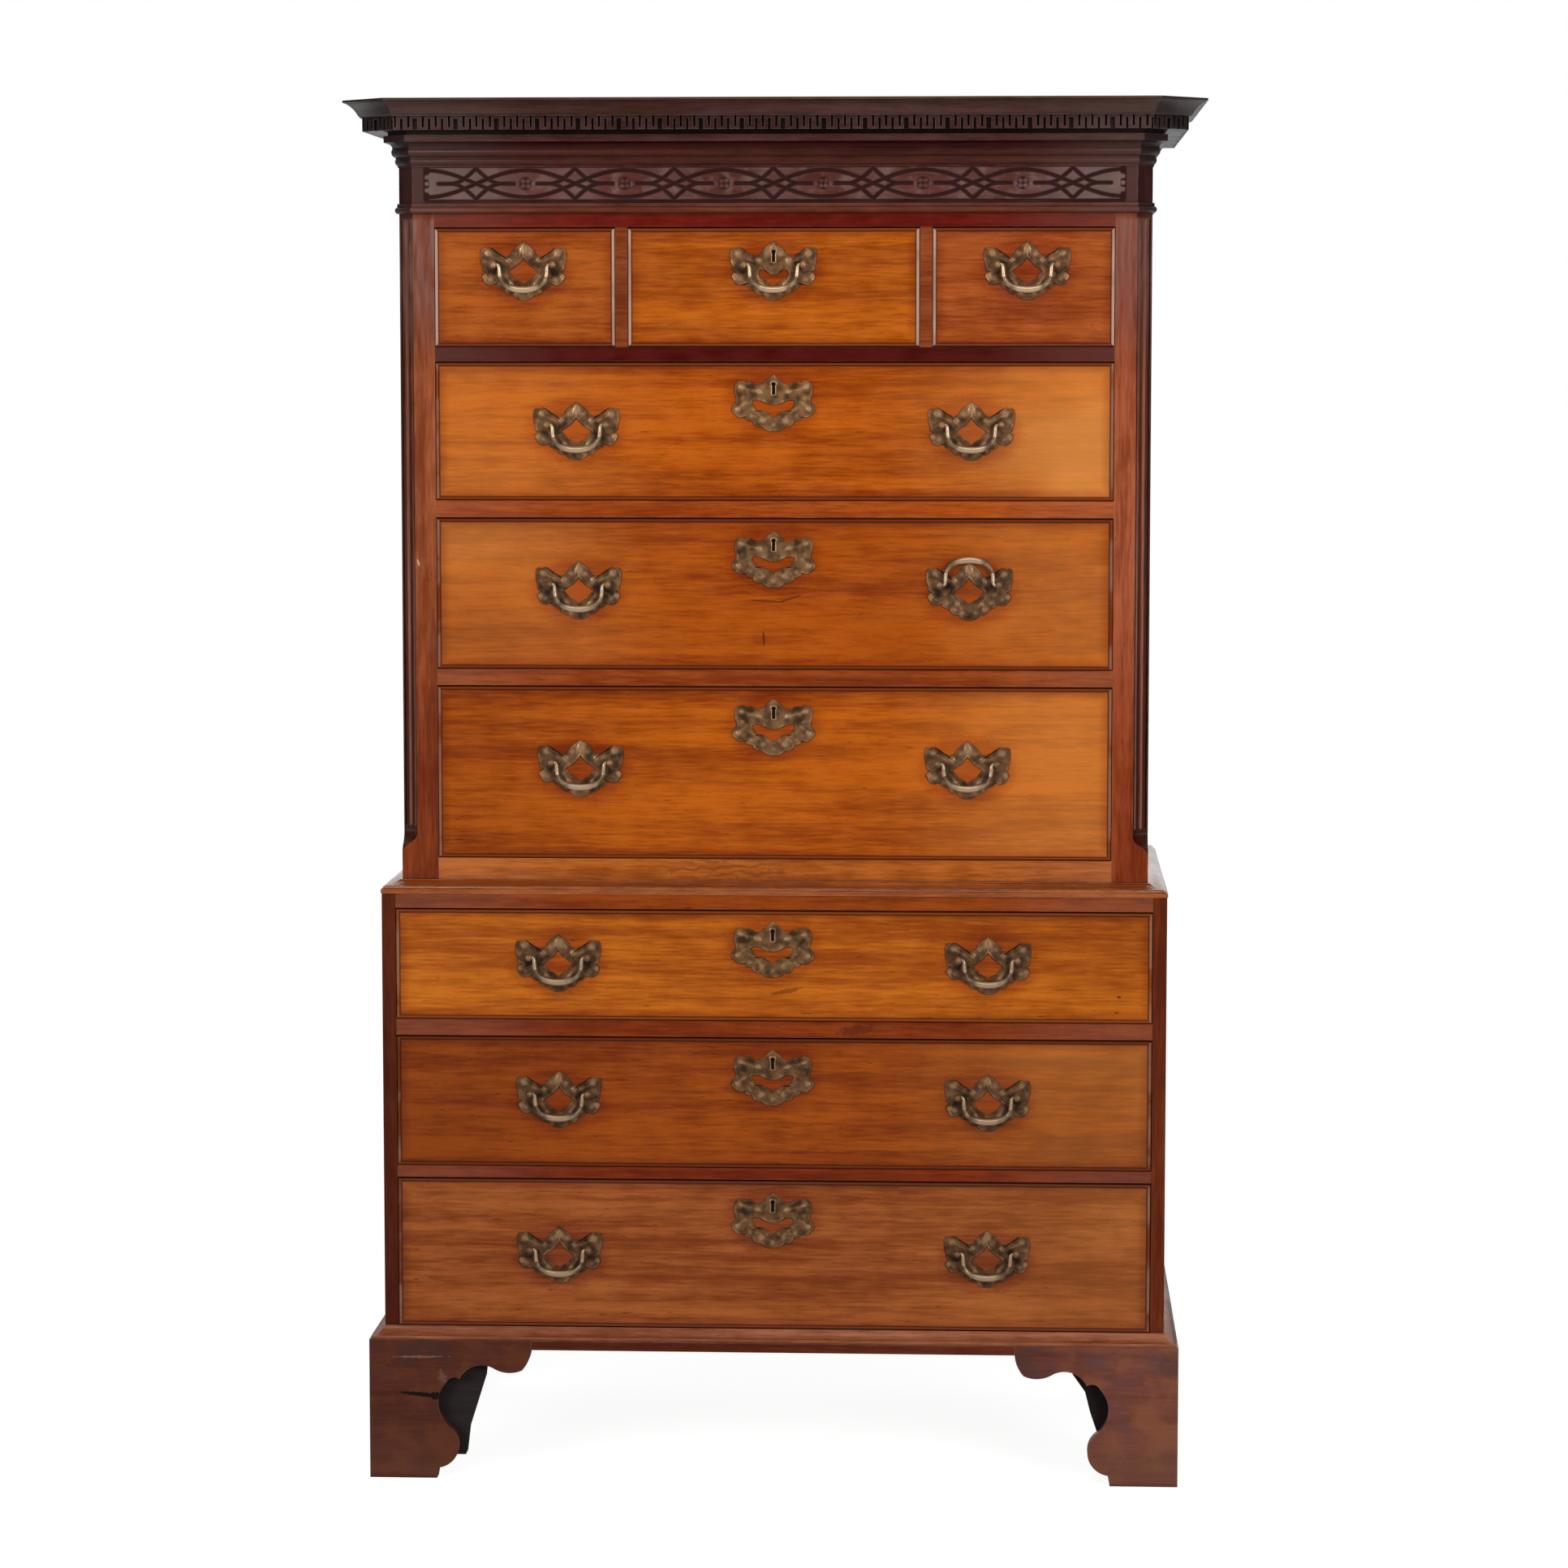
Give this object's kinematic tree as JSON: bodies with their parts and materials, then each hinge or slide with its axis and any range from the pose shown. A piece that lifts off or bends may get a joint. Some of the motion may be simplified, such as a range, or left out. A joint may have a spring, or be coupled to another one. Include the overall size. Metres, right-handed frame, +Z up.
{
  "type": "chest on chest",
  "caption": "Tall mahogany chest on chest with drawers, canted reeded corners, Greek-key cornice, blind-fret frieze, bracket feet and pierced brass bail handles.",
  "frame": {"origin": "on the floor under the middle of the whole piece", "axes": "+Z up, the drawers face -Y, +X to the right of someone facing the drawers"},
  "size_m": [1.131, 0.592, 1.83],
  "materials": {
    "mahogany_case": "waxed and polished mahogany",
    "mahogany_drawer_fronts": "waxed and polished mahogany, faded warm",
    "mahogany_cornice": "dark polished mahogany",
    "mahogany_feet": "worn polished mahogany",
    "oak_linings": "bare oak",
    "pine_inside": "bare aged pine",
    "brass": "aged lacquered brass"
  },
  "bodies": {
    "lower_chest": {"lower_sides": "mahogany_case", "lower_back": "pine_inside", "lower_rails": "mahogany_case", "lower_inner_boards": "pine_inside", "waist_moulding": "mahogany_case", "base_moulding": "mahogany_feet", "bracket_feet": "mahogany_feet", "foot_blocks": "pine_inside"},
    "upper_chest": {"crown_moulding": "mahogany_cornice", "key_dentil": "mahogany_cornice", "frieze_mouldings": "mahogany_cornice", "frieze": "mahogany_cornice", "frieze_fret": "mahogany_cornice", "corner_posts": "mahogany_case", "upper_sides": "mahogany_case", "upper_back": "pine_inside", "upper_rails": "mahogany_case", "upper_inner_boards": "pine_inside"},
    "short_drawer_left": {"short_drawer_left_front": "mahogany_drawer_fronts", "short_drawer_left_box": "oak_linings", "short_drawer_left_brass": "brass"},
    "short_drawer_left_bail": {"short_drawer_left_bail": "brass"},
    "short_drawer_middle": {"short_drawer_middle_front": "mahogany_drawer_fronts", "short_drawer_middle_box": "oak_linings", "short_drawer_middle_brass": "brass"},
    "short_drawer_middle_bail": {"short_drawer_middle_bail": "brass"},
    "short_drawer_right": {"short_drawer_right_front": "mahogany_drawer_fronts", "short_drawer_right_box": "oak_linings", "short_drawer_right_brass": "brass"},
    "short_drawer_right_bail": {"short_drawer_right_bail": "brass"},
    "upper_drawer_3": {"upper_drawer_3_front": "mahogany_drawer_fronts", "upper_drawer_3_box": "oak_linings", "upper_drawer_3_brass": "brass"},
    "upper_drawer_3_left_bail": {"upper_drawer_3_left_bail": "brass"},
    "upper_drawer_3_right_bail": {"upper_drawer_3_right_bail": "brass"},
    "upper_drawer_2": {"upper_drawer_2_front": "mahogany_drawer_fronts", "upper_drawer_2_box": "oak_linings", "upper_drawer_2_brass": "brass"},
    "upper_drawer_2_left_bail": {"upper_drawer_2_left_bail": "brass"},
    "upper_drawer_2_right_bail": {"upper_drawer_2_right_bail": "brass"},
    "upper_drawer_1": {"upper_drawer_1_front": "mahogany_drawer_fronts", "upper_drawer_1_box": "oak_linings", "upper_drawer_1_brass": "brass"},
    "upper_drawer_1_left_bail": {"upper_drawer_1_left_bail": "brass"},
    "upper_drawer_1_right_bail": {"upper_drawer_1_right_bail": "brass"},
    "lower_drawer_3": {"lower_drawer_3_front": "mahogany_drawer_fronts", "lower_drawer_3_box": "oak_linings", "lower_drawer_3_brass": "brass"},
    "lower_drawer_3_left_bail": {"lower_drawer_3_left_bail": "brass"},
    "lower_drawer_3_right_bail": {"lower_drawer_3_right_bail": "brass"},
    "lower_drawer_2": {"lower_drawer_2_front": "mahogany_drawer_fronts", "lower_drawer_2_box": "oak_linings", "lower_drawer_2_brass": "brass"},
    "lower_drawer_2_left_bail": {"lower_drawer_2_left_bail": "brass"},
    "lower_drawer_2_right_bail": {"lower_drawer_2_right_bail": "brass"},
    "lower_drawer_1": {"lower_drawer_1_front": "mahogany_drawer_fronts", "lower_drawer_1_box": "oak_linings", "lower_drawer_1_brass": "brass"},
    "lower_drawer_1_left_bail": {"lower_drawer_1_left_bail": "brass"},
    "lower_drawer_1_right_bail": {"lower_drawer_1_right_bail": "brass"}
  },
  "joints": [
    {"name": "upper_chest_lift", "type": "slide", "parent": "lower_chest", "child": "upper_chest", "axis": [0, 0, 1], "range_m": [0, 0.06]},
    {"name": "short_drawer_left_slide", "type": "slide", "parent": "upper_chest", "child": "short_drawer_left", "axis": [0, -1, 0], "range_m": [0, 0.36]},
    {"name": "short_drawer_left_bail_hinge", "type": "hinge", "parent": "short_drawer_left", "child": "short_drawer_left_bail", "pos_m": [-0.329, -0.234, 1.616], "axis": [-1, 0, 0], "range_deg": [0, 182.5]},
    {"name": "short_drawer_middle_slide", "type": "slide", "parent": "upper_chest", "child": "short_drawer_middle", "axis": [0, -1, 0], "range_m": [0, 0.36]},
    {"name": "short_drawer_middle_bail_hinge", "type": "hinge", "parent": "short_drawer_middle", "child": "short_drawer_middle_bail", "pos_m": [0, -0.234, 1.616], "axis": [-1, 0, 0], "range_deg": [0, 182.5]},
    {"name": "short_drawer_right_slide", "type": "slide", "parent": "upper_chest", "child": "short_drawer_right", "axis": [0, -1, 0], "range_m": [0, 0.36]},
    {"name": "short_drawer_right_bail_hinge", "type": "hinge", "parent": "short_drawer_right", "child": "short_drawer_right_bail", "pos_m": [0.332, -0.234, 1.616], "axis": [-1, 0, 0], "range_deg": [0, 182.5]},
    {"name": "upper_drawer_3_slide", "type": "slide", "parent": "upper_chest", "child": "upper_drawer_3", "axis": [0, -1, 0], "range_m": [0, 0.36]},
    {"name": "upper_drawer_3_left_bail_hinge", "type": "hinge", "parent": "upper_drawer_3", "child": "upper_drawer_3_left_bail", "pos_m": [-0.2565, -0.234, 0.96], "axis": [-1, 0, 0], "range_deg": [0, 182.5]},
    {"name": "upper_drawer_3_right_bail_hinge", "type": "hinge", "parent": "upper_drawer_3", "child": "upper_drawer_3_right_bail", "pos_m": [0.2565, -0.234, 0.96], "axis": [-1, 0, 0], "range_deg": [0, 182.5]},
    {"name": "upper_drawer_2_slide", "type": "slide", "parent": "upper_chest", "child": "upper_drawer_2", "axis": [0, -1, 0], "range_m": [0, 0.36]},
    {"name": "upper_drawer_2_left_bail_hinge", "type": "hinge", "parent": "upper_drawer_2", "child": "upper_drawer_2_left_bail", "pos_m": [-0.258, -0.234, 1.1965], "axis": [-1, 0, 0], "range_deg": [0, 182.5]},
    {"name": "upper_drawer_2_right_bail_hinge", "type": "hinge", "parent": "upper_drawer_2", "child": "upper_drawer_2_right_bail", "pos_m": [0.258, -0.234, 1.1965], "axis": [-1, 0, 0], "range_deg": [-182.5, 0]},
    {"name": "upper_drawer_1_slide", "type": "slide", "parent": "upper_chest", "child": "upper_drawer_1", "axis": [0, -1, 0], "range_m": [0, 0.36]},
    {"name": "upper_drawer_1_left_bail_hinge", "type": "hinge", "parent": "upper_drawer_1", "child": "upper_drawer_1_left_bail", "pos_m": [-0.26, -0.234, 1.4065], "axis": [-1, 0, 0], "range_deg": [0, 182.5]},
    {"name": "upper_drawer_1_right_bail_hinge", "type": "hinge", "parent": "upper_drawer_1", "child": "upper_drawer_1_right_bail", "pos_m": [0.26, -0.234, 1.4065], "axis": [-1, 0, 0], "range_deg": [0, 182.5]},
    {"name": "lower_drawer_3_slide", "type": "slide", "parent": "lower_chest", "child": "lower_drawer_3", "axis": [0, -1, 0], "range_m": [0, 0.38]},
    {"name": "lower_drawer_3_left_bail_hinge", "type": "hinge", "parent": "lower_drawer_3", "child": "lower_drawer_3_left_bail", "pos_m": [-0.285, -0.259, 0.3095], "axis": [-1, 0, 0], "range_deg": [0, 182.5]},
    {"name": "lower_drawer_3_right_bail_hinge", "type": "hinge", "parent": "lower_drawer_3", "child": "lower_drawer_3_right_bail", "pos_m": [0.285, -0.259, 0.3095], "axis": [-1, 0, 0], "range_deg": [0, 182.5]},
    {"name": "lower_drawer_2_slide", "type": "slide", "parent": "lower_chest", "child": "lower_drawer_2", "axis": [0, -1, 0], "range_m": [0, 0.38]},
    {"name": "lower_drawer_2_left_bail_hinge", "type": "hinge", "parent": "lower_drawer_2", "child": "lower_drawer_2_left_bail", "pos_m": [-0.285, -0.259, 0.5195], "axis": [-1, 0, 0], "range_deg": [0, 182.5]},
    {"name": "lower_drawer_2_right_bail_hinge", "type": "hinge", "parent": "lower_drawer_2", "child": "lower_drawer_2_right_bail", "pos_m": [0.285, -0.259, 0.5195], "axis": [-1, 0, 0], "range_deg": [0, 182.5]},
    {"name": "lower_drawer_1_slide", "type": "slide", "parent": "lower_chest", "child": "lower_drawer_1", "axis": [0, -1, 0], "range_m": [0, 0.38]},
    {"name": "lower_drawer_1_left_bail_hinge", "type": "hinge", "parent": "lower_drawer_1", "child": "lower_drawer_1_left_bail", "pos_m": [-0.285, -0.259, 0.7025], "axis": [-1, 0, 0], "range_deg": [0, 182.5]},
    {"name": "lower_drawer_1_right_bail_hinge", "type": "hinge", "parent": "lower_drawer_1", "child": "lower_drawer_1_right_bail", "pos_m": [0.285, -0.259, 0.7025], "axis": [-1, 0, 0], "range_deg": [0, 182.5]}
  ]
}
